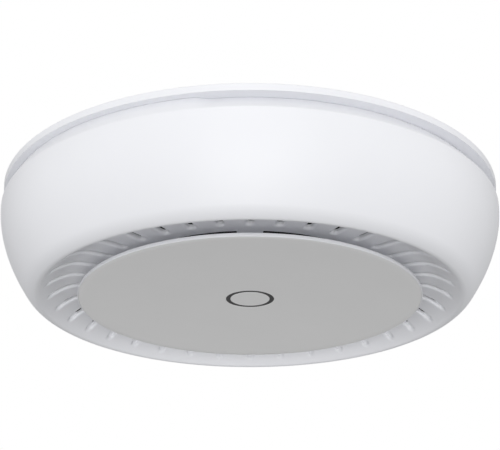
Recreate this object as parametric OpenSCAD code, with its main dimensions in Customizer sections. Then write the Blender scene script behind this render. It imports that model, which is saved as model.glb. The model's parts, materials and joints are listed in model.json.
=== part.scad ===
// Ceiling access point, millimetres.
// Origin: centre of the ceiling plate's top face. +Z points up into the ceiling,
// and the unit hangs below it. -Y is the side with the low middle slot.

/* [Ceiling plate] */
// Radius of the plate's rim at the ceiling
plate_r = 95.1; // [94:0.1:95.5]
// Height of the plate's rim
plate_t = 2.6; // [2.4:0.1:3]
// Circle through the four ceiling screws
screw_circle = 130; // [120:1:134]
// Diameter of each ceiling screw hole
screw_hole = 4.5; // [4:0.1:5]
// Width of the cable opening
cable_w = 44; // [30:1:50]
// Length of the cable opening
cable_l = 32; // [24:1:36]

/* [Twist lock] */
// Turn that frees the unit from the plate, in degrees
twist = 14; // [10:1:16]
// Arc that each hook covers, in degrees
hook_arc = 8; // [6:1:10]
// Inner radius of the hooks
hook_r = 68.5; // [67:0.5:70]

/* [Shell] */
// Radius of the shell at its widest ring
shell_r = 95.5; // [95:0.1:96]
// Height of the whole object
total_h = 42.2; // [41:0.1:43]
// Wall of the shell
wall = 2.2; // [1.8:0.1:2.6]
// Radius of the crease where the lip turns up into the vent ring
lip_r = 79.8; // [79:0.1:81]
// Outer radius of the rim, where the shoulder meets the plate
rim_r = 90.7; // [90:0.1:92]
// Gap between the plate and the shell's rim
seam = 0.3; // [0.3:0.1:0.6]
// Outer radius of the raised part of the rim
raised_r = 92.2; // [91.5:0.1:93]
// Extra height of the raised part of the rim
rim_raise = 0.1; // [0.05:0.05:0.2]

/* [Vents] */
// Number of radial slots
slots = 36; // [30:1:40]
// Width of each slot
slot_w = 2.5; // [2:0.1:3]
// Radius at the inner end of the slots
slot_in = 57.2; // [56:0.2:60]
// Radius where the slots stop going through the wall
slot_out = 74.6; // [73:0.2:76]
// Radius of the slots' outer tips
slot_tip = 77.2; // [76:0.2:78]

/* [Disc] */
// Radius of the grey disc
disc_r = 64.7; // [62:0.1:65]
// Thickness of the grey disc
disc_t = 0.8; // [0.6:0.1:1]
// How far the disc is dished at its centre
dish = 1.54; // [1:0.02:2]
// Radius of the hub that carries the disc
hub_r = 50.4; // [50:0.2:52]
// Outer radius of the light ring
ring_out = 9.15; // [8.5:0.05:10]
// Inner radius of the light ring
ring_in = 7.45; // [6.5:0.05:8]

/* [Ports] */
// Width of the bay that the cable plugs sit in
bay_w = 54; // [48:1:56]
// Length of the bay
bay_l = 40; // [34:1:42]
// Travel of the two buttons
button_travel = 0.5; // [0.3:0.1:0.6]

/* [Hidden] */
$fn = 96;
bit = 0.01; // overlap that joins touching solids of one piece

// Levels, from the ceiling down
disc_z = -total_h + 0.87;      // the edge of the grey disc
rim_z = -plate_t - seam;       // top of the shell's rim
cover_z = rim_z - 3.3;         // top of the back cover
cover_t = 2;
cover_under = cover_z - cover_t;
hook_foot_z = cover_under - 0.3;
floor_z = disc_z + 7.3;        // the vent ring's flat floor, from below
floor_t = 2;
board_t = 1.6;
board_z = -28.2;               // the board's lower face
board_top = board_z + board_t;
bay_floor = board_top + 0.5;   // the bay's lower face
bay_t = 1.6;

// The shell's outer wall leans in below its widest ring as a power curve.
wide_z = disc_z + 31;
shoulder_z = disc_z + 32.6;    // the cone above it starts here
mouth_r = rim_r - 1.9;
raised_from = 218;             // start of the raised part of the rim, in degrees
raised_arc = 42;
lean = 12.5;
lean_power = 1.84;
// The vent ring rises from the crease to the flat floor as a power curve.
crease_z = -total_h;
trough_w = 14.5;
trough_power = 1.9;

function wall_r(z) = z > wide_z ? shell_r
    : shell_r - lean * pow((wide_z - z) / (wide_z - disc_z), lean_power);
function trough_z(r) = r < lip_r - trough_w ? floor_z
    : crease_z + (floor_z - crease_z)
      * (1 - pow(1 - (lip_r - r) / trough_w, trough_power));
function polar(r, a) = [r * cos(a), r * sin(a)];

// The lip is the arc that leaves the wall without a break and ends at the crease.
lip_top = disc_z + 3;
lip_meet = [wall_r(lip_top), lip_top];
lip_slope = lean * lean_power / (wide_z - disc_z)
    * pow((wide_z - lip_top) / (wide_z - disc_z), lean_power - 1);
lip_in = [-1, lip_slope] / norm([1, lip_slope]);   // into the shell, square to the wall
lip_chord = [lip_r, crease_z] - lip_meet;
lip_arc = lip_chord * lip_chord / (2 * (lip_in * lip_chord));
lip_c = lip_meet + lip_arc * lip_in;
lip_from = atan2(crease_z - lip_c[1], lip_r - lip_c[0]);
lip_to = atan2(-lip_in[1], -lip_in[0]);

function lip_points() = [for (i = [0:5])
    lip_c + polar(lip_arc, lip_from + (lip_to - lip_from) * i / 5)];
function wall_points(inset, from, n) = [for (i = [0:n])
    let (z = from + (wide_z - from) * i / n) [wall_r(z) - inset, z]];
function trough_points() = [for (i = [0:7])
    let (r = lip_r - trough_w * (1 - i / 7)) [r, trough_z(r)]];
// The shoulder and the rim, for a rim of a radius and a height; the last points are inside the shell
function rim_points(r, z) = [[shell_r, shoulder_z], [r, z], [mouth_r, z],
    [mouth_r, rim_z - 1.1], [shell_r - wall, shoulder_z - 1]];

socket_w = 16;
socket_l = 21.5;
socket_h = 13.4;
socket_gap = 1;
socket_x = (socket_w + socket_gap) / 2;
socket_wall = 0.4;
plug_w = 11.8;
plug_h = 7.2;
plug_deep = 14;
plug_z = board_top + 3;        // lower edge of the plug's opening
contacts = 8;
contact_pitch = 1.02;

button_x = 21.5;
button_z = board_top + 4;
button_r = 1.7;
flange_y = -bay_t - 0.1;        // front of each button's flange, behind the bay wall
flange_t = 1;

boss_circle = 82.5;
board_fix = [40, 34];
reflector_z = -13;
chip_at = [-12, -34];            // centre of the processor and its heatsink
pin_at = [17, -6];              // heatsink pins, from that centre, on a diagonal
screw_d = 2.5;                  // case screws
small_screw_d = 2;              // board and reflector screws
pilot = 0.1;                    // how much wider a screw's hole is
antenna_r = 67;
led_circle = (ring_in + ring_out) / 2;

// A ring sector with square section, between two radii and two angles
module sector(r1, r2, z1, z2, a1, a2) {
    translate([0, 0, z1]) rotate([0, 0, a1]) rotate_extrude(angle = a2 - a1)
        translate([r1, 0]) square([r2 - r1, z2 - z1]);
}

// A slot with round ends along +X, from one radius to another
module radial_slot(r1, r2, w, z1, z2) {
    for (r = [r1 + w / 2, r2 - w / 2])
        translate([r, 0, z1]) cylinder(d = w, h = z2 - z1, $fn = 32);
    translate([r1 + w / 2, -w / 2, z1]) cube([r2 - r1 - w, w, z2 - z1]);
}

// A block centred in X and Y, standing on its lower face
module block(w, l, h) {
    translate([-w / 2, -l / 2, 0]) cube([w, l, h]);
}

// A block with rounded vertical edges
module round_block(w, l, h, r) {
    linear_extrude(h) {
        square([w - 2 * r, l], center = true);
        square([w, l - 2 * r], center = true);
        for (x = [-1, 1], y = [-1, 1])
            translate([x * (w / 2 - r), y * (l / 2 - r)]) circle(r, $fn = 32);
    }
}

module at_corners(p) {
    for (x = [-1, 1], y = [-1, 1]) translate([x * p[0], y * p[1], 0]) children();
}

module around(n, from = 0) {
    for (i = [0:n - 1]) rotate([0, 0, from + i * 360 / n]) children();
}

module at_pins() {
    for (s = [-1, 1])
        translate([chip_at[0] + s * pin_at[0], chip_at[1] + s * pin_at[1], 0]) children();
}

// A pan head screw along Z: the head's flat side is at z = 0, the shank goes to -Z
module screw(d, head, head_h, length) {
    difference() {
        cylinder(d = head, h = head_h, $fn = 32);
        for (a = [0, 90]) rotate([0, 0, a])
            translate([-head * 0.3, -0.3, head_h * 0.45]) cube([head * 0.6, 0.6, head_h]);
    }
    translate([0, 0, -length]) cylinder(d = d, h = length + bit, $fn = 32);
}

module ceiling_plate() {
    pad = 9;
    color("white") {
        difference() {
            rotate_extrude($fn = 180) polygon(concat(
                [[0, 0], [0, -plate_t], [plate_r - 0.2, -plate_t], [plate_r, -0.4]],
                [for (a = [30:30:90]) [plate_r - 0.4, -0.4] + polar(0.4, a)]));
            // pockets in the face that meets the ceiling
            difference() {
                for (a = [0:45:315]) sector(30, 86, -1.5, 1, a + 3, a + 42);
                around(4, 45) translate([screw_circle / 2, 0, -plate_t])
                    cylinder(r = pad, h = plate_t, $fn = 48);
                translate([0, bay_l / 2, -plate_t])
                    round_block(cable_w + 8, cable_l + 8, plate_t, 6);
            }
            around(4, 45) translate([screw_circle / 2, 0, -plate_t - 1]) {
                cylinder(d = screw_hole, h = plate_t + 2, $fn = 48);
                cylinder(d = 10, h = 2.2, $fn = 48);
            }
            translate([0, bay_l / 2, -plate_t - 1])
                round_block(cable_w, cable_l, plate_t + 2, 4);
        }
        around(4) rotate([0, 0, -hook_arc / 2]) {
            sector(hook_r, hook_r + 2.5, hook_foot_z - 2.5, -plate_t + bit, 0, hook_arc);
            sector(hook_r + 1, hook_r + 6, hook_foot_z - 2.5, hook_foot_z, 0, hook_arc);
        }
    }
}

module shell_section() {
    polygon(concat(
        [[42, floor_z]], trough_points(), lip_points(),
        wall_points(0, lip_top + 1, 9),
        rim_points(rim_r, rim_z),
        [for (i = [0:6]) let (z = wide_z - i * 3) [wall_r(z) - wall, z]],
        [[lip_r + 3.5, floor_z + 0.4], [lip_r, floor_z - 1],
         [slot_out - 1, floor_z - 0.2], [lip_r - trough_w + 4, floor_z + floor_t - 0.6],
         [lip_r - trough_w, floor_z + floor_t], [42, floor_z + floor_t]]));
}

module outer_shell() {
    boss_from = floor_z - 1;
    color("white") difference() {
        union() {
            rotate_extrude($fn = 180) shell_section();
            // the raised part of the rim, on one side of the front
            rotate([0, 0, raised_from]) rotate_extrude(angle = raised_arc, $fn = 180)
                polygon(rim_points(raised_r, rim_z + rim_raise));
            around(6) translate([boss_circle, 0, boss_from])
                cylinder(d = 7, h = cover_under - boss_from, $fn = 32);
        }
        around(slots) {
            radial_slot(slot_in, slot_out, slot_w, disc_z, floor_z + 6);
            radial_slot(slot_out - 4, slot_tip, slot_w, disc_z, disc_z + 4.6);
        }
        around(8, -90) sector(hub_r + 0.2, hub_r + 2.2, disc_z, floor_z + 6, 5, 40);
        around(6) translate([boss_circle, 0, cover_under - 12])
            cylinder(d = screw_d + pilot, h = 14, $fn = 32);
        around(4) translate([46, 0, floor_z - 1]) cylinder(d = 3.4, h = 5, $fn = 32);
    }
}

module back_cover() {
    color("white") difference() {
        union() {
            translate([0, 0, cover_under]) cylinder(r = mouth_r - 0.3, h = cover_t, $fn = 180);
            translate([0, bay_l / 2, bay_floor])
                block(bay_w + 2 * bay_t, bay_l + 2 * bay_t, cover_z - bay_floor);
            at_corners(board_fix) translate([0, 0, board_top])
                cylinder(d = 6, h = cover_under - board_top + bit, $fn = 32);
            around(4, 10) translate([64, 0, reflector_z + 1])
                cylinder(d = 6, h = cover_under - reflector_z - 1 + bit, $fn = 32);
        }
        translate([0, bay_l / 2, bay_floor + bay_t]) block(bay_w, bay_l, 30);
        // windows for the two sockets and the two buttons
        for (s = [-1, 1]) {
            translate([s * socket_x, -bay_t / 2, board_top + 0.1])
                block(socket_w + 0.4, bay_t * 2, socket_h + 0.3);
            translate([s * button_x, 1, button_z]) rotate([90, 0, 0])
                cylinder(r = button_r + 0.25, h = bay_t + 2, $fn = 32);
        }
        // bayonet slots: the narrow part holds the hook, the wide part lets it out
        around(4) {
            sector(hook_r - 0.6, hook_r + 3.1, cover_under - 1, cover_z + 1,
                -hook_arc / 2 - 0.6, twist);
            sector(hook_r - 0.6, hook_r + 6.6, cover_under - 1, cover_z + 1,
                twist - hook_arc / 2 - 1, twist + hook_arc / 2 + 1);
        }
        around(6) translate([boss_circle, 0, cover_under - 1]) {
            cylinder(d = 3.4, h = 5, $fn = 32);
            translate([0, 0, 2]) cylinder(d = 6.6, h = 5, $fn = 32);
        }
        at_corners(board_fix) translate([0, 0, board_top - 1])
            cylinder(d = small_screw_d + pilot, h = 9, $fn = 32);
        around(4, 10) translate([64, 0, reflector_z])
            cylinder(d = small_screw_d + pilot, h = 5, $fn = 32);
    }
}

module cover_screws() {
    color("silver") around(6) translate([boss_circle, 0, cover_under + 1])
        screw(screw_d, 5.6, 1.8, 10);
}

module disc_carrier() {
    rim = disc_r + 0.05;
    edge = rim + 0.35;
    color("white") difference() {
        union() {
            rotate_extrude($fn = 180) polygon([
                [ring_out + 0.1, disc_z + dish + disc_t], [rim, disc_z + disc_t],
                [rim, disc_z - 0.05], [edge, disc_z - 0.05], [edge, disc_z + 1.3],
                [edge - 0.5, disc_z + 1.6], [hub_r, disc_z + 3.9], [hub_r, floor_z],
                [hub_r - 3, floor_z], [hub_r - 3, disc_z + 4.4],
                [ring_out + 0.1, disc_z + 4.4]]);
            around(4) translate([46, 0, disc_z + 3])
                cylinder(d = 7, h = floor_z - disc_z - 3, $fn = 32);
        }
        around(4) translate([46, 0, disc_z + 3.2])
            cylinder(d = screw_d + pilot, h = 8, $fn = 32);
    }
}

module carrier_screws() {
    color("silver") around(4) translate([46, 0, floor_z + floor_t])
        screw(screw_d, 5.6, 1.6, 5.4);
}

// Height of the dished face at a radius
function dish_z(r) = disc_z + dish * (1 - pow(r / disc_r, 2));

module front_disc() {
    steps = 8;
    radii = [for (i = [0:steps]) ring_out + 0.02 + (disc_r - ring_out - 0.02) * i / steps];
    color("darkgray") rotate_extrude($fn = 180) polygon(concat(
        [for (r = radii) [r, dish_z(r)]],
        [[disc_r, disc_z + disc_t - 0.02], [ring_out + 0.02, disc_z + dish + disc_t - 0.04]]));
}

module disc_centre() {
    color("darkgray") translate([0, 0, dish_z(0)])
        cylinder(r = ring_in - 0.02, h = disc_t, $fn = 96);
}

module light_guide() {
    low = dish_z(ring_out);
    color("dimgray") rotate_extrude($fn = 96) polygon([
        [0, dish_z(0) + disc_t + 0.02], [ring_in, dish_z(0) + disc_t + 0.02],
        [ring_in, low], [ring_out, low], [ring_out, board_z - 1.4],
        [ring_in, board_z - 1.4], [ring_in, low + 2.6], [0, low + 2.6]]);
}

module status_leds() {
    color("lightyellow") around(6) translate([led_circle, 0, board_z - 1])
        block(1.6, 1, 1);
}

module main_board() {
    color("darkgreen") translate([0, 0, board_z]) difference() {
        linear_extrude(board_t) intersection() {
            circle(57, $fn = 180);
            square([104, 100], center = true);
        }
        at_corners(board_fix) translate([0, 0, -1]) cylinder(d = 3, h = 5, $fn = 32);
        // holes for the two heatsink pins
        at_pins() translate([0, 0, -1]) cylinder(d = 3.1, h = 5, $fn = 32);
    }
}

module board_screws() {
    color("silver") at_corners(board_fix) translate([0, 0, board_z])
        rotate([180, 0, 0]) screw(small_screw_d, 4.6, 1.5, 8);
}

// Shield of one network socket, open at its front and at the board
module socket_shield() {
    color("silver") difference() {
        translate([0, -socket_l / 2, board_top]) block(socket_w, socket_l, socket_h);
        translate([0, -socket_l / 2 + socket_wall, board_top - 1])
            block(socket_w - 2 * socket_wall, socket_l, socket_h - socket_wall + 1);
    }
}
module socket_shield_in() { translate([-socket_x, 0, 0]) socket_shield(); }
module socket_shield_out() { translate([socket_x, 0, 0]) socket_shield(); }

// Moulded insert of one socket, with the plug's opening and its latch slot
module socket_insert() {
    w = socket_w - 2 * socket_wall - 0.1;
    h = socket_h - socket_wall - 0.1;
    color("black") difference() {
        translate([0, -(socket_l - socket_wall) / 2, board_top])
            block(w, socket_l - socket_wall - 0.1, h);
        translate([0, 1 - plug_deep / 2, plug_z]) block(plug_w, plug_deep + 2, plug_h);
        translate([0, 1 - plug_deep / 2, plug_z + plug_h - bit])
            block(6.2, plug_deep + 2, 1.6);
    }
}
module socket_insert_in() { translate([-socket_x, 0, 0]) socket_insert(); }
module socket_insert_out() { translate([socket_x, 0, 0]) socket_insert(); }

// Slanted spring contacts in the floor of each opening
module socket_contacts() {
    color("gold") for (s = [-1, 1], i = [0:contacts - 1])
        translate([s * socket_x + (i - (contacts - 1) / 2) * contact_pitch - 0.2,
            -plug_deep + 1.2, plug_z + 0.05])
            rotate([16, 0, 0]) cube([0.4, 7, 0.3]);
}

module port_transformers() {
    color("black") for (s = [-1, 1]) translate([s * 38, -8, board_top]) block(12, 16, 6);
}

module processor() {
    color("black") translate([chip_at[0], chip_at[1], board_top]) block(14, 14, 1.2);
}

module memory_chips() {
    color("black") {
        translate([18, chip_at[1], board_top]) block(13, 9, 1);
        translate([31, chip_at[1], board_top]) block(6, 8, 1.8);
    }
}

module thermal_pad() {
    color("lightblue") translate([chip_at[0], chip_at[1], board_top + 1.2])
        block(14, 14, 0.8);
}

module heatsink() {
    fins = 8;
    fin_t = 1.2;
    pitch = (18 - fin_t) / (fins - 1);
    color("silver") difference() {
        translate([chip_at[0], chip_at[1], board_top + 2]) {
            block(42, 18, 2);
            for (i = [0:fins - 1])
                translate([-13, -9 + i * pitch, 2 - bit]) cube([26, fin_t, 10]);
        }
        at_pins() translate([0, 0, board_top]) cylinder(d = 3.1, h = 6, $fn = 32);
    }
}

module heatsink_pins() {
    color("white") at_pins() {
        translate([0, 0, board_z - 1.2]) cylinder(d = 2.8, h = 6.4 + board_t, $fn = 32);
        translate([0, 0, board_top + 4]) cylinder(d = 5, h = 1.6, $fn = 32);
        translate([0, 0, board_z - 1.6]) cylinder(d = 3.8, h = 1.6, $fn = 32);
    }
}

module power_inductor() {
    color("dimgray") translate([41, 14, board_top]) round_block(12, 12, 7, 2);
}

module power_capacitors() {
    color("darkslateblue") for (y = [-24, 26]) translate([44, y, board_top])
        cylinder(d = 8, h = 11, $fn = 48);
}

// A drawn radio shield can on the board's lower face
module radio_can(x) {
    color("silver") translate([x, 22, board_z - 2.5]) difference() {
        round_block(28, 20, 2.5, 1);
        translate([0, 0, 0.3]) round_block(27.4, 19.4, 3, 0.7);
    }
}
module radio_can_low() { radio_can(-16); }
module radio_can_high() { radio_can(16); }

module reflector_ring() {
    color("gainsboro") difference() {
        translate([0, 0, reflector_z]) difference() {
            cylinder(r = 77.5, h = 1, $fn = 180);
            translate([0, 0, -1]) cylinder(r = 60, h = 3, $fn = 180);
        }
        around(4, 10) translate([64, 0, reflector_z - 1]) cylinder(d = 2.6, h = 3, $fn = 32);
    }
}

module reflector_screws() {
    color("silver") around(4, 10) translate([64, 0, reflector_z])
        rotate([180, 0, 0]) screw(small_screw_d, 4.4, 1.4, 4);
}

// A stamped antenna: a standing strip with a short folded foot
module antenna(w, h) {
    top = reflector_z - 3;
    translate([antenna_r, -w / 2, top - h]) cube([0.6, w, h]);
    translate([antenna_r, -w / 2, top - h]) cube([8, w, 0.6]);
}
module low_band_antennas() { color("peru") around(2, 90) antenna(40, 10); }
module high_band_antennas() { color("peru") around(2) antenna(24, 8); }

module antenna_holders() {
    color("black") around(4) translate([antenna_r + 0.3, 0, reflector_z - 3])
        block(6, 18, 3);
}

// Each coax lead rises from its connector and bends out to its antenna
module coax_leads() {
    start = 47;
    bend = 3;
    level = reflector_z - 6;
    foot = board_top + 1.4;
    color("gray") around(4) {
        translate([start, 0, foot]) cylinder(d = 1.2, h = level - bend - foot, $fn = 24);
        translate([start + bend, 0, level - bend]) rotate([90, 0, 180])
            rotate_extrude(angle = 90, $fn = 48) translate([bend, 0]) circle(d = 1.2, $fn = 24);
        translate([start + bend, 0, level]) rotate([0, 90, 0])
            cylinder(d = 1.2, h = antenna_r - start - bend, $fn = 24);
    }
}

module coax_connectors() {
    color("gold") around(4) translate([47, 0, board_top]) {
        block(3, 3, 0.6);
        cylinder(d = 2.4, h = 1.4, $fn = 24);
    }
}

// A plunger that the finger or a pin presses, along -Y
module button() {
    tip = 1;
    translate([0, tip, button_z]) rotate([90, 0, 0])
        cylinder(r = button_r, h = tip - flange_y + flange_t, $fn = 32);
    translate([0, flange_y, button_z]) rotate([90, 0, 0])
        cylinder(r = button_r + 0.8, h = flange_t, $fn = 32);
}
module reset_button() { color("red") translate([-button_x, 0, 0]) button(); }
module mode_button() { color("white") translate([button_x, 0, 0]) button(); }

module tact_switches() {
    front = flange_y - flange_t - button_travel - 0.1;
    color("black") for (s = [-1, 1]) translate([s * button_x, front - 1.75, board_top])
        block(6, 3.5, 6.5);
}

ceiling_plate();
outer_shell();
back_cover();
cover_screws();
disc_carrier();
carrier_screws();
front_disc();
disc_centre();
light_guide();
status_leds();
main_board();
board_screws();
socket_shield_in();
socket_shield_out();
socket_insert_in();
socket_insert_out();
socket_contacts();
port_transformers();
processor();
memory_chips();
thermal_pad();
heatsink();
heatsink_pins();
power_inductor();
power_capacitors();
radio_can_low();
radio_can_high();
reflector_ring();
reflector_screws();
low_band_antennas();
high_band_antennas();
antenna_holders();
coax_leads();
coax_connectors();
reset_button();
mode_button();
tact_switches();
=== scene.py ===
"""Looks of the ceiling access point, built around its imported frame. Metres, +Z up into the ceiling."""

import json
import math

import bmesh
import bpy
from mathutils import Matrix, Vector


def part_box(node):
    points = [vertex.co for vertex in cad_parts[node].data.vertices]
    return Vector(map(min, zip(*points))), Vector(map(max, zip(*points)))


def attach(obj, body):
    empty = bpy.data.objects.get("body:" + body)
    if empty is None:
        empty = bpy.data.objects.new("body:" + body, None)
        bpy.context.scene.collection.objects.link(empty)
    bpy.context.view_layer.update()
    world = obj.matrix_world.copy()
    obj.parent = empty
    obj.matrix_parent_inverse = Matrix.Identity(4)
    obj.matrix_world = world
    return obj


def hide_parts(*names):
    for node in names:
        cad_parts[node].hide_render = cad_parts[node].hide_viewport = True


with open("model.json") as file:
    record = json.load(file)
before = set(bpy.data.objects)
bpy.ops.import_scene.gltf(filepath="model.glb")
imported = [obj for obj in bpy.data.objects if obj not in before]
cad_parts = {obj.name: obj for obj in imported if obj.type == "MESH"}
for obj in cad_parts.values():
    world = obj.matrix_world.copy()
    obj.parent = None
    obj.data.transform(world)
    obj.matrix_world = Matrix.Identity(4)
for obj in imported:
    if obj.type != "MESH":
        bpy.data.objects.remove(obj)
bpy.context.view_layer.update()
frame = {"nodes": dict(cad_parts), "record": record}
nodes = frame["nodes"]
MM = 0.001

# ---------------------------------------------------------------- dimensions

SEG = 360                                  # vertices round each turned piece, one per degree
SLOTS = 36
PER_SLOT = SEG // SLOTS
FIRST = -95.0                              # angle of vertex 0, half a slot's share before the slot at -Y

_, shell_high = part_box("outer_shell")
disc_low, disc_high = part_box("front_disc")
_, carrier_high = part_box("disc_carrier")
guide_low, guide_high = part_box("light_guide")

SHELL_R = shell_high.x                     # the shell's widest ring
DISC_Z = disc_low.z                        # edge of the grey disc
LIP_Z = DISC_Z - 0.87 * MM                 # the crease of the lip, the lowest line of the object
FLOOR_Z = carrier_high.z                   # flat floor of the vent ring
FLOOR_T = 2.0 * MM                         # thickness of that floor near the hub
BAND_T = 2.4 * MM                          # thickness of the slotted band at its inner edge
FLOOR_IN = 42 * MM                         # inner edge of the floor, behind the disc
WALL = 2.2 * MM                            # thickness of the outer wall
LIP_R = 79.8 * MM                          # the crease's radius
LIP_ROUND = 2.0 * MM                       # rounding of the crease
LIP_TOP = DISC_Z + 3 * MM                  # the lip's arc meets the wall here
WIDE_Z = DISC_Z + 31 * MM                  # height of the widest ring
SHOULDER_Z = DISC_Z + 32.6 * MM            # the cone from the widest ring to the rim starts here
RIM_R, RIM_Z = 90.25 * MM, -2.66 * MM      # the rim, just under the plate
RAISED_R = 91.9 * MM                       # the rim where it stands out further
RAISE_FROM, RAISE_TO = 185.0, 260.0        # arc of that stretch, in degrees
RAISE_RAMP = 4.0                           # arc of the ramp at each of its ends
SHOULDER_ROUND, RIM_ROUND = 1.5 * MM, 0.12 * MM
MOUTH_R = RIM_R - 1.9 * MM                 # the shell's open mouth
LEAN, LEAN_POWER = 12.5 * MM, 1.84         # how the wall leans in below its widest ring
TROUGH_W, TROUGH_POWER = 14.5 * MM, 1.9    # how the vent ring rises from the crease
HUB_R = 50.4 * MM                          # the hub that carries the disc
GAP_IN, GAP_OUT = 50.6 * MM, 52.6 * MM     # curved openings beside the hub
GAP_PITCH, GAP_FROM, GAP_TO = 45, 5, 40    # their spacing, and where each one starts and ends, in degrees
SLOT_W = 2.5 * MM
SLOT_IN, SLOT_OUT, SLOT_TIP = 57.4 * MM, 74.6 * MM, 76.8 * MM
DISC_R = disc_high.x
DISH = 1.54 * MM                           # depth of the disc's dish
DISC_T = 0.8 * MM
RING_IN, RING_OUT = 7.45 * MM, guide_high.x    # the light ring


def wall_r(z):
    if z > WIDE_Z:
        return SHELL_R
    return SHELL_R - LEAN * ((WIDE_Z - z) / (WIDE_Z - DISC_Z)) ** LEAN_POWER


def trough_z(r):
    if r < LIP_R - TROUGH_W:
        return FLOOR_Z
    rise = 1 - (1 - min(1.0, (LIP_R - r) / TROUGH_W)) ** TROUGH_POWER
    return LIP_Z + (FLOOR_Z - LIP_Z) * rise


def dish_z(r):
    return DISC_Z + DISH * (1 - (r / DISC_R) ** 2)


# The shell's side towards the board, over the slotted band and the lip
UPPER_LINE = [
    (LIP_R - TROUGH_W, FLOOR_Z + BAND_T), (LIP_R - TROUGH_W + 4 * MM, FLOOR_Z + BAND_T - 0.6 * MM),
    (SLOT_OUT - 1 * MM, FLOOR_Z + 0.2 * MM), (LIP_R, FLOOR_Z - 1 * MM),
    (LIP_R + 3.5 * MM, FLOOR_Z + 0.4 * MM)]


def upper_z(r):
    if r <= UPPER_LINE[0][0]:
        return UPPER_LINE[0][1]
    for (r0, z0), (r1, z1) in zip(UPPER_LINE, UPPER_LINE[1:]):
        if r <= r1:
            return z0 + (z1 - z0) * (r - r0) / (r1 - r0)
    return UPPER_LINE[-1][1]


def in_gap(i):
    """Whether the stretch after vertex i of a ring is in one of the curved openings."""
    return GAP_FROM <= (i + 0.5 - PER_SLOT / 2) % GAP_PITCH <= GAP_TO


def raised_share(a):
    """How far a direction is into the stretch where the rim stands out, with a soft ramp at each end."""
    edge = min(a % 360 - RAISE_FROM, RAISE_TO - a % 360) / RAISE_RAMP
    t = max(0.0, min(1.0, edge + 0.5))
    return t * t * (3 - 2 * t)


# ---------------------------------------------------------------- mesh helpers


def make_object(name, verts, faces, materials, face_slots=None, sharp=35.0):
    """A mesh object with outward normals, smooth faces and sharp edges over an angle."""
    mesh = bpy.data.meshes.new(name)
    mesh.from_pydata(verts, [], faces)
    if face_slots:
        mesh.polygons.foreach_set("material_index", face_slots)
    bm = bmesh.new()
    bm.from_mesh(mesh)
    bmesh.ops.remove_doubles(bm, verts=bm.verts, dist=1e-7)
    bmesh.ops.recalc_face_normals(bm, faces=bm.faces)
    bm.to_mesh(mesh)
    bm.free()
    for material in materials:
        mesh.materials.append(material)
    mesh.shade_smooth()
    mesh.set_sharp_from_angle(angle=math.radians(sharp))
    obj = bpy.data.objects.new(name, mesh)
    bpy.context.scene.collection.objects.link(obj)
    return obj


def rounded(corners, steps=5):
    """A closed outline from (r, z, fillet) corners, each fillet as an arc."""
    out = []
    count = len(corners)
    for k, (r, z, fillet) in enumerate(corners):
        here = Vector((r, z))
        if not fillet:
            out.append(tuple(here))
            continue
        before = (Vector(corners[k - 1][:2]) - here).normalized()
        after = (Vector(corners[(k + 1) % count][:2]) - here).normalized()
        half = before.angle(after) / 2
        centre = here + (before + after).normalized() * (fillet / math.sin(half))
        a = here + before * (fillet / math.tan(half)) - centre
        b = here + after * (fillet / math.tan(half)) - centre
        sweep = a.angle_signed(b)
        for i in range(steps + 1):
            t = -sweep * i / steps
            turned = (a.x * math.cos(t) - a.y * math.sin(t), a.x * math.sin(t) + a.y * math.cos(t))
            out.append((centre.x + turned[0], centre.y + turned[1]))
    return out


def ease(points, at, radius, steps=6):
    """An open line of (r, z) points with one corner replaced by a curve of a radius."""
    here = Vector(points[at])
    before = (Vector(points[at - 1]) - here).normalized()
    after = (Vector(points[at + 1]) - here).normalized()
    reach = radius / math.tan(before.angle(after) / 2)

    def walk(step):
        """The line's point at the fillet's reach from the corner, and the next of its points."""
        left, k, last = reach, at, here
        while True:
            k += step
            to = Vector(points[k])
            gap = (to - last).length
            if gap >= left:
                return last + (to - last) * (left / gap), k
            left, last = left - gap, to

    (a, back), (b, on) = walk(-1), walk(1)
    arc = []
    for i in range(steps + 1):
        t = i / steps
        arc.append(tuple(a * (1 - t) ** 2 + here * 2 * t * (1 - t) + b * t * t))
    return points[:back + 1] + arc + points[on:]


def turned(name, outline, material, sharp=35.0, segments=SEG):
    """The solid that a closed (r, z) outline makes when it turns round the Z axis."""
    verts, faces, rows = [], [], []
    for r, z in outline:
        if r < 1e-9:
            rows.append([len(verts)] * segments)
            verts.append((0, 0, z))
            continue
        rows.append(range(len(verts), len(verts) + segments))
        for i in range(segments):
            a = math.radians(FIRST + i * 360 / segments)
            verts.append((r * math.cos(a), r * math.sin(a), z))
    for k, row in enumerate(rows):
        other = rows[(k + 1) % len(rows)]
        for i in range(segments):
            j = (i + 1) % segments
            corners = list(dict.fromkeys([row[i], row[j], other[j], other[i]]))
            if len(corners) > 2:
                faces.append(corners)
    return make_object(name, verts, faces, [material], sharp=sharp)


# ---------------------------------------------------------------- the slotted shell


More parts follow.
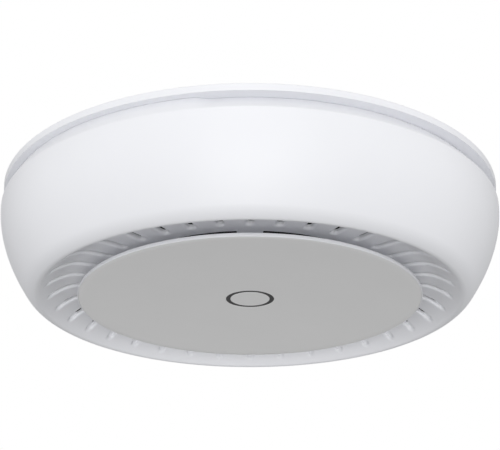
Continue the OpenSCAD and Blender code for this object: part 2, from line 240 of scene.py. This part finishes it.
class ShellMesh:
    """The shell as one closed mesh: turned rings, with a patch round each slot, below and above."""

    WHITE, DARK = 0, 1                     # material slots: white plastic, and near-black paint standing in for the shade inside the shell
    SIDE = 24                              # steps along a slot's straight side
    FILLET = 1.0 * MM                      # rounding of the slots' lower edges
    GROOVE = 1.5 * MM                      # depth of the blind stretch at each slot's tip
    PAINTED_SHADE_DEPTH = 1.8 * MM                 # beyond this depth the slots' walls are painted near-black, as painted shade
    PATCH_IN, PATCH_OUT = 55.4 * MM, 78.3 * MM     # the rings between which the patches lie

    def __init__(self):
        self.verts, self.faces, self.slots = [], [], []

    def finish_with(self, slot):
        """Gives the faces made since the last call their material slot."""
        self.slots += [slot] * (len(self.faces) - len(self.slots))

    def vert(self, x, y, z):
        self.verts.append((x, y, z))
        return len(self.verts) - 1

    def ring(self, r, z, share=None, to=None):
        """A ring of vertices at (r, z); share of a direction, from 0 to 1, moves its vertex towards to."""
        out = []
        for i in range(SEG):
            a = FIRST + i * 360 / SEG
            t = share(a) if share else 0.0
            here = (r + (to[0] - r) * t, z + (to[1] - z) * t) if t else (r, z)
            c, s = math.cos(math.radians(a)), math.sin(math.radians(a))
            out.append(self.vert(here[0] * c, here[0] * s, here[1]))
        return out

    def join(self, a, b, skip=None):
        for i in range(SEG):
            if skip and skip(i):
                continue
            j = (i + 1) % SEG
            self.faces.append((a[i], a[j], b[j], b[i]))

    def outline(self, grow, tip):
        """The slot's outline in its own frame, x outward, matched point for point to the patch's edge."""
        radius = SLOT_W / 2 + grow
        x_in, x_out = SLOT_IN + SLOT_W / 2, tip - SLOT_W / 2
        step = 180 / PER_SLOT
        points = []
        for m in range(PER_SLOT + 1):
            a = math.radians(-90 - step * m)
            points.append((x_in + radius * math.cos(a), radius * math.sin(a)))
        for j in range(1, self.SIDE):
            points.append((x_in + (x_out - x_in) * j / self.SIDE, radius))
        for m in range(PER_SLOT + 1):
            a = math.radians(90 - step * m)
            points.append((x_out + radius * math.cos(a), radius * math.sin(a)))
        for j in range(self.SIDE - 1, 0, -1):
            points.append((x_in + (x_out - x_in) * j / self.SIDE, -radius))
        return points

    def loop(self, points, turn, height):
        """Vertices for points of a slot's frame, turned to its place; height gives z from the radius."""
        c, s = math.cos(turn), math.sin(turn)
        return [self.vert(x * c - y * s, x * s + y * c, height(math.hypot(x, y))) for x, y in points]

    def bridge(self, a, b):
        for i in range(len(a)):
            j = (i + 1) % len(a)
            self.faces.append((a[i], a[j], b[j], b[i]))

    def patches(self, inner, outer, height, tip, spread):
        """Covers the band between two rings, and returns each slot's direction and its edge loop."""
        depth = self.PATCH_OUT - self.PATCH_IN
        radii = [self.PATCH_IN + depth * j / self.SIDE for j in range(1, self.SIDE)]
        columns = []
        for k in range(SLOTS):
            a = math.radians(FIRST + k * PER_SLOT)
            columns.append([self.vert(r * math.cos(a), r * math.sin(a), height(r)) for r in radii])
        edges = []
        for k in range(SLOTS):
            low, turn = k * PER_SLOT, math.radians(FIRST + (k + 0.5) * PER_SLOT)
            arc = [(low + m) % SEG for m in range(PER_SLOT + 1)]
            border = [inner[i] for i in arc] + columns[(k + 1) % SLOTS]
            border += [outer[i] for i in reversed(arc)] + list(reversed(columns[k]))
            c, s = math.cos(-turn), math.sin(-turn)
            flat = [(x * c - y * s, x * s + y * c) for x, y, _ in (self.verts[i] for i in border)]
            target = self.outline(spread, tip)
            last = border
            for share in (0.3, 0.55, 0.75, 0.9, 1.0):
                points = [(p[0] + (q[0] - p[0]) * share, p[1] + (q[1] - p[1]) * share)
                          for p, q in zip(flat, target)]
                fresh = self.loop(points, turn, height)
                self.bridge(last, fresh)
                last = fresh
            edges.append((turn, last))
        return edges

    def add_floor(self):
        """The flat floor, both sides, with the curved openings beside the hub; returns its outer rings."""
        radii = [FLOOR_IN, FLOOR_IN + 6 * MM, GAP_IN, GAP_OUT, self.PATCH_IN]
        low = [self.ring(r, FLOOR_Z) for r in radii]
        high = [self.ring(r, FLOOR_Z + FLOOR_T) for r in radii[:-1]]
        high.append(self.ring(self.PATCH_IN, FLOOR_Z + BAND_T))
        near, far = radii.index(GAP_IN), radii.index(GAP_OUT)
        # the floor's upper side, towards the board, takes the painted shade; its lower side is white
        for rows, slot in ((high, self.DARK), (low, self.WHITE)):
            for k, (a, b) in enumerate(zip(rows, rows[1:])):
                self.join(a, b, skip=in_gap if k == near else None)
            self.finish_with(slot)
        # the inner edge and the openings' side walls take the painted shade as well
        self.join(low[0], high[0])
        for k in (near, far):
            self.join(low[k], high[k], skip=lambda i: not in_gap(i))
        for i in range(SEG):
            if in_gap(i) != in_gap(i - 1):
                self.faces.append((low[near][i], low[far][i], high[far][i], high[near][i]))
        self.finish_with(self.DARK)
        return low[-1], high[-1]

    def add_slots(self, low_in, high_in):
        """The slotted band, below and above, and the slots' walls; returns its outer rings."""
        low_out = self.ring(self.PATCH_OUT, trough_z(self.PATCH_OUT))
        high_out = self.ring(self.PATCH_OUT, upper_z(self.PATCH_OUT))
        below = self.patches(low_in, low_out, trough_z, SLOT_TIP, self.FILLET)
        self.finish_with(self.WHITE)
        # the band's upper side takes the painted shade
        above = self.patches(high_in, high_out, upper_z, SLOT_OUT, 0.0)
        self.finish_with(self.DARK)
        # each wall below its rounded edge: its tip and its depth under the trough
        walls = [(SLOT_TIP, self.GROOVE - 0.35 * MM), (SLOT_TIP - 0.5 * MM, self.GROOVE),
                 (SLOT_OUT, self.GROOVE + 0.15 * MM), (SLOT_OUT, self.PAINTED_SHADE_DEPTH)]
        for (turn, edge), (_, top) in zip(below, above):
            last = edge
            for a in (20, 40, 60, 75, 90):
                grow = self.FILLET * (1 - math.sin(math.radians(a)))
                drop = self.FILLET * (1 - math.cos(math.radians(a)))
                fresh = self.loop(self.outline(grow, SLOT_TIP), turn, lambda r: trough_z(r) + drop)
                self.bridge(last, fresh)
                last = fresh
            for tip, depth in walls:
                fresh = self.loop(self.outline(0.0, tip), turn, lambda r: trough_z(r) + depth)
                self.bridge(last, fresh)
                last = fresh
            self.finish_with(self.WHITE)
            # deeper than that, each slot's wall is painted near-black for the shade inside it
            self.bridge(last, top)
            self.finish_with(self.DARK)
        return low_out, high_out

    def lip(self, steps=16):
        """The lip's arc, from the crease to where it meets the wall without a break."""
        span = WIDE_Z - DISC_Z
        meet = Vector((wall_r(LIP_TOP), LIP_TOP))
        slope = LEAN * LEAN_POWER / span * ((WIDE_Z - LIP_TOP) / span) ** (LEAN_POWER - 1)
        inward = Vector((-1, slope)).normalized()
        chord = Vector((LIP_R, LIP_Z)) - meet
        radius = chord.dot(chord) / (2 * inward.dot(chord))
        centre = meet + inward * radius
        start = math.atan2(LIP_Z - centre.y, LIP_R - centre.x)
        end = math.atan2(-inward.y, -inward.x)
        angles = [start + (end - start) * i / steps for i in range(steps + 1)]
        return [(centre.x + radius * math.cos(a), centre.y + radius * math.sin(a)) for a in angles]

    def rim(self, radius):
        """The shoulder and the rim, with rounded corners, for a rim of a radius."""
        line = [(SHELL_R, WIDE_Z), (SHELL_R, SHOULDER_Z), (radius, RIM_Z), (MOUTH_R, RIM_Z)]
        return ease(ease(line, 2, RIM_ROUND), 1, SHOULDER_ROUND)[1:]

    def add_outside(self, low_out, high_out):
        """Lip, wall, shoulder and rim, then down the inside to the slotted band."""
        trough_steps, wall_steps, inside_steps = 4, 25, 6
        radii = [self.PATCH_OUT + (LIP_R - self.PATCH_OUT) * i / trough_steps for i in range(trough_steps)]
        path = ease([(r, trough_z(r)) for r in radii] + self.lip(), trough_steps, LIP_ROUND)[1:]
        for i in range(1, wall_steps + 1):
            z = LIP_TOP + (WIDE_Z - LIP_TOP) * i / wall_steps
            path.append((wall_r(z), z))
        rim_at = len(path)
        raised = self.rim(RAISED_R)
        path += self.rim(RIM_R)
        mouth_at = len(path)
        path += [(MOUTH_R, RIM_Z - 1.1 * MM), (SHELL_R - WALL, SHOULDER_Z - 1 * MM)]
        for i in range(inside_steps + 1):
            z = WIDE_Z - 3 * MM * i
            path.append((wall_r(z) - WALL, z))
        path += [UPPER_LINE[-1], UPPER_LINE[-2]]
        last = low_out
        for k, (r, z) in enumerate(path):
            # from inside the mouth on, the shell's inside takes the painted shade
            if k == mouth_at + 1:
                self.finish_with(self.WHITE)
            to = raised[k - rim_at] if rim_at <= k < mouth_at else (r, z)
            fresh = self.ring(r, z, raised_share, to)
            self.join(last, fresh)
            last = fresh
        self.join(last, high_out)
        self.finish_with(self.DARK)

    def build(self, plastic, inside):
        self.add_outside(*self.add_slots(*self.add_floor()))
        # inside is the near-black paint standing in for the shade inside the shell
        return make_object("shell_skin", self.verts, self.faces, [plastic, inside], self.slots, sharp=38.0)


# ---------------------------------------------------------------- materials


def new_material(name):
    material = bpy.data.materials.new(name)
    material.use_nodes = True
    tree = material.node_tree
    return material, tree, tree.nodes["Principled BSDF"]


def add(tree, kind, **values):
    node = tree.nodes.new(kind)
    for key, value in values.items():
        if key in node.inputs:
            node.inputs[key].default_value = value
        else:
            setattr(node, key, value)
    return node


def coloured_noise(tree, shader, colour, spread, scale, detail=4.0):
    """Soft variation of a colour over the surface."""
    where = add(tree, "ShaderNodeTexCoord")
    noise = add(tree, "ShaderNodeTexNoise", Scale=scale, Detail=detail, Roughness=0.55)
    ramp = add(tree, "ShaderNodeMix", data_type="RGBA")
    ramp.inputs["A"].default_value = (*[max(0.0, c * (1 - spread)) for c in colour], 1)
    ramp.inputs["B"].default_value = (*[min(1.0, c * (1 + spread)) for c in colour], 1)
    tree.links.new(where.outputs["Object"], noise.inputs["Vector"])
    tree.links.new(noise.outputs["Fac"], ramp.inputs["Factor"])
    tree.links.new(ramp.outputs["Result"], shader.inputs["Base Color"])
    return where


def grain(tree, shader, where, scale, distance, strength, roughness, spread):
    """Moulded or blasted grain: fine bump, and a roughness that wanders a little."""
    noise = add(tree, "ShaderNodeTexNoise", Scale=scale, Detail=3.0, Roughness=0.6)
    bump = add(tree, "ShaderNodeBump", Strength=strength, Distance=distance)
    tree.links.new(where.outputs["Object"], noise.inputs["Vector"])
    tree.links.new(noise.outputs["Fac"], bump.inputs["Height"])
    tree.links.new(bump.outputs["Normal"], shader.inputs["Normal"])
    broad = add(tree, "ShaderNodeTexNoise", Scale=60.0, Detail=2.0)
    limits = add(tree, "ShaderNodeMapRange")
    limits.inputs["To Min"].default_value = roughness - spread
    limits.inputs["To Max"].default_value = roughness + spread
    tree.links.new(where.outputs["Object"], broad.inputs["Vector"])
    tree.links.new(broad.outputs["Fac"], limits.inputs["Value"])
    tree.links.new(limits.outputs["Result"], shader.inputs["Roughness"])


def moulded(name, colour, roughness=0.4, spread=0.015, scale=2600.0, strength=0.12, ior=1.46):
    material, tree, shader = new_material(name)
    where = coloured_noise(tree, shader, colour, spread, 35.0)
    grain(tree, shader, where, scale, 0.02 * MM, strength, roughness, 0.03)
    shader.inputs["IOR"].default_value = ior
    return material


def metal(name, colour, roughness=0.3, stretch=(1.0, 1.0, 30.0)):
    """Metal with fine drawn lines."""
    material, tree, shader = new_material(name)
    shader.inputs["Metallic"].default_value = 1.0
    where = coloured_noise(tree, shader, colour, 0.05, 90.0)
    lines = add(tree, "ShaderNodeMapping")
    lines.inputs["Scale"].default_value = stretch
    noise = add(tree, "ShaderNodeTexNoise", Scale=900.0, Detail=2.0)
    bump = add(tree, "ShaderNodeBump", Strength=0.15, Distance=0.01 * MM)
    limits = add(tree, "ShaderNodeMapRange")
    limits.inputs["To Min"].default_value = roughness - 0.08
    limits.inputs["To Max"].default_value = roughness + 0.08
    tree.links.new(where.outputs["Object"], lines.inputs["Vector"])
    tree.links.new(lines.outputs["Vector"], noise.inputs["Vector"])
    tree.links.new(noise.outputs["Fac"], bump.inputs["Height"])
    tree.links.new(noise.outputs["Fac"], limits.inputs["Value"])
    tree.links.new(bump.outputs["Normal"], shader.inputs["Normal"])
    tree.links.new(limits.outputs["Result"], shader.inputs["Roughness"])
    return material


white = moulded("white_shell", (0.84, 0.847, 0.878), roughness=0.42)
# near-black paint for the shell's inside: painted shade, so that its slots and openings look dark
painted_shade_inside = moulded("shell_inside_painted_shade", (0.03, 0.03, 0.031), roughness=0.7)
grey = moulded("grey_disc", (0.82, 0.82, 0.82), roughness=0.5, spread=0.02, scale=3400.0)
smoked = moulded("smoked_ring", (0.03, 0.03, 0.031), roughness=0.35, spread=0.06, strength=0.05)
slot_materials = {
    "white_plastic": white,
    "grey_disc": grey,
    "smoked_guide": smoked,
    "led": moulded("led_lens", (0.85, 0.84, 0.7), roughness=0.2),
    "board": moulded("solder_mask", (0.01, 0.13, 0.05), roughness=0.25, spread=0.25, scale=900.0),
    "steel": metal("plated_steel", (0.62, 0.62, 0.63)),
    "black_plastic": moulded("black_plastic", (0.022, 0.022, 0.024), roughness=0.5, spread=0.1),
    "gold": metal("gold_plate", (0.85, 0.6, 0.24), roughness=0.25),
    "soft_pad": moulded("thermal_pad", (0.3, 0.42, 0.55), roughness=0.8, spread=0.08),
    "bare_aluminium": metal("bare_aluminium", (0.78, 0.79, 0.8), roughness=0.35),
    "white_pins": moulded("white_pins", (0.74, 0.74, 0.71), roughness=0.45),
    "ferrite": moulded("ferrite", (0.1, 0.1, 0.105), roughness=0.7, spread=0.15, scale=1200.0),
    "capacitor_sleeve": moulded("capacitor_sleeve", (0.05, 0.06, 0.16), roughness=0.3),
    "coax_jacket": moulded("coax_jacket", (0.2, 0.2, 0.21), roughness=0.4),
    "red_plastic": moulded("red_plastic", (0.55, 0.03, 0.025), roughness=0.4),
}

# ---------------------------------------------------------------- carried-over CAD nodes

slot_of = {s["node"]: s["material_slot"] for s in frame["record"]["subparts"]}
for name, obj in nodes.items():
    for index in range(len(obj.material_slots)):
        obj.material_slots[index].material = slot_materials[slot_of[name]]

# ---------------------------------------------------------------- pieces that stand for CAD nodes


def stand_in(obj, node, body="unit"):
    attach(obj, body)
    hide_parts(node)
    return obj


stand_in(ShellMesh().build(white, painted_shade_inside), "outer_shell")

edge_r = carrier_high.x
seat_r = DISC_R + 0.05 * MM
stand_in(turned("disc_rim", rounded([
    (RING_OUT + 0.1 * MM, DISC_Z + DISH + DISC_T, 0), (seat_r, DISC_Z + DISC_T, 0),
    (seat_r, DISC_Z - 0.05 * MM, 0.04 * MM), (edge_r, DISC_Z - 0.05 * MM, 0.18 * MM),
    (edge_r - 0.15 * MM, DISC_Z + 1.35 * MM, 0.3 * MM), (HUB_R, DISC_Z + 3.9 * MM, 0.8 * MM),
    (HUB_R, FLOOR_Z, 0), (HUB_R - 3 * MM, FLOOR_Z, 0), (HUB_R - 3 * MM, DISC_Z + 4.4 * MM, 0),
    (RING_OUT + 0.1 * MM, DISC_Z + 4.4 * MM, 0)]), white), "disc_carrier")

hole_r = RING_OUT + 0.02 * MM
face_in, face_out, face_steps = hole_r + 0.06 * MM, DISC_R - 0.1 * MM, 24
face_radii = [face_in + (face_out - face_in) * i / face_steps for i in range(face_steps + 1)]
face = [(r, dish_z(r)) for r in face_radii]
stand_in(turned("disc_face", [
    (hole_r, dish_z(hole_r) + 0.06 * MM), *face, (DISC_R - 0.03 * MM, dish_z(DISC_R) + 0.03 * MM),
    (DISC_R, dish_z(DISC_R) + 0.1 * MM), (DISC_R, DISC_Z + DISC_T - 0.02 * MM),
    (hole_r, DISC_Z + DISH + DISC_T - 0.04 * MM)], grey), "front_disc")

centre_r = RING_IN - 0.02 * MM
stand_in(turned("disc_island", [
    (0, dish_z(0)), (centre_r / 2, dish_z(0)), (centre_r - 0.06 * MM, dish_z(0)),
    (centre_r, dish_z(0) + 0.06 * MM), (centre_r, dish_z(0) + DISC_T), (0, dish_z(0) + DISC_T)],
    grey), "disc_centre")

ring_z = guide_low.z + 0.12 * MM           # the ring lies a little deep in the disc
stand_in(turned("light_ring", rounded([
    (0, dish_z(0) + DISC_T + 0.02 * MM, 0), (RING_IN, dish_z(0) + DISC_T + 0.02 * MM, 0),
    (RING_IN, ring_z, 0.05 * MM), (RING_OUT, ring_z, 0.05 * MM), (RING_OUT, guide_high.z, 0.1 * MM),
    (RING_IN, guide_high.z, 0.1 * MM), (RING_IN, ring_z + 2.6 * MM, 0), (0, ring_z + 2.6 * MM, 0)]),
    smoked), "light_guide")

# ---------------------------------------------------------------- camera, light and floor

CAMERA_AWAY, CAMERA_BELOW = 0.455, 0.1651  # from the object's axis, and below the disc's edge
CAMERA_UP = 23.45                          # how far the camera looks up, in degrees

camera_data = bpy.data.cameras.new("camera")
camera_data.sensor_width = 36.0
camera_data.lens = 91.6
camera = bpy.data.objects.new("camera", camera_data)
camera.location = (0.0, -CAMERA_AWAY, DISC_Z - CAMERA_BELOW)
camera.rotation_euler = (math.radians(90 + CAMERA_UP), 0.0, 0.0)
bpy.context.scene.collection.objects.link(camera)
bpy.context.scene.camera = camera

BASE = 0.15                                # light from everywhere
# Soft light as lobes: degrees off the front to both sides, degrees up, tightness, strength
SOFTBOXES = [
    (0, 3, 12, 1.3), (0, -27, 20, 5.4),    # the large ones in front
    (0, 42, 12, 1.8),                      # the one above them
    (90, 0, 6, 1.2),                       # tall strips at both sides
    (0, -90, 20, 0.8),                     # the reflector under the object
    (180, 25, 4, 0.6), (0, 90, 8, 0.8),    # from behind and from the ceiling
]

world = bpy.data.worlds.new("studio")
bpy.context.scene.world = world
world.use_nodes = True
wt = world.node_tree
wt.nodes.clear()
direction = add(wt, "ShaderNodeTexCoord")
split = add(wt, "ShaderNodeSeparateXYZ")
either_side = add(wt, "ShaderNodeMath", operation="ABSOLUTE")
mirrored = add(wt, "ShaderNodeCombineXYZ")
wt.links.new(direction.outputs["Generated"], split.inputs[0])
wt.links.new(split.outputs["X"], either_side.inputs[0])
wt.links.new(either_side.outputs[0], mirrored.inputs["X"])
wt.links.new(split.outputs["Y"], mirrored.inputs["Y"])
wt.links.new(split.outputs["Z"], mirrored.inputs["Z"])
total = None
for aside, up, tight, strength in SOFTBOXES:
    a, e = math.radians(aside), math.radians(up)
    dot = add(wt, "ShaderNodeVectorMath", operation="DOT_PRODUCT")
    dot.inputs[1].default_value = (math.sin(a) * math.cos(e), -math.cos(a) * math.cos(e), math.sin(e))
    clip = add(wt, "ShaderNodeMath", operation="MAXIMUM")
    clip.inputs[1].default_value = 0.0
    power = add(wt, "ShaderNodeMath", operation="POWER")
    power.inputs[1].default_value = tight
    lobe = add(wt, "ShaderNodeMath", operation="MULTIPLY_ADD")
    lobe.inputs[1].default_value = strength
    lobe.inputs[2].default_value = BASE
    wt.links.new(mirrored.outputs[0], dot.inputs[0])
    wt.links.new(dot.outputs["Value"], clip.inputs[0])
    wt.links.new(clip.outputs[0], power.inputs[0])
    wt.links.new(power.outputs[0], lobe.inputs[0])
    if total:
        wt.links.new(total, lobe.inputs[2])
    total = lobe.outputs[0]
light = add(wt, "ShaderNodeBackground", Color=(1, 1, 1, 1))
backdrop = add(wt, "ShaderNodeBackground", Color=(1, 1, 1, 1), Strength=1.0)
rays = add(wt, "ShaderNodeLightPath")
choose = add(wt, "ShaderNodeMixShader")
out = add(wt, "ShaderNodeOutputWorld")
wt.links.new(total, light.inputs["Strength"])
wt.links.new(rays.outputs["Is Camera Ray"], choose.inputs["Fac"])
wt.links.new(light.outputs[0], choose.inputs[1])
wt.links.new(backdrop.outputs[0], choose.inputs[2])
wt.links.new(choose.outputs[0], out.inputs["Surface"])

FLOOR_DROP, FLOOR_HALF = 1.2, 12.0         # the room's floor under the ceiling, and half its width

floor_corners = [(x * FLOOR_HALF, y * FLOOR_HALF, -FLOOR_DROP)
                 for x, y in ((-1, -1), (1, -1), (1, 1), (-1, 1))]
floor_mesh = bpy.data.meshes.new("floor")
floor_mesh.from_pydata(floor_corners, [], [(0, 1, 2, 3)])
floor_mesh.materials.append(moulded(
    "floor_paint", (0.95, 0.95, 0.95), roughness=0.8, spread=0.01, scale=50.0))
floor = bpy.data.objects.new("floor", floor_mesh)
bpy.context.scene.collection.objects.link(floor)
# only the camera sees the floor, so that the light from below reaches the object
floor.visible_diffuse = floor.visible_glossy = floor.visible_shadow = False

bpy.context.scene.view_settings.view_transform = "Standard"
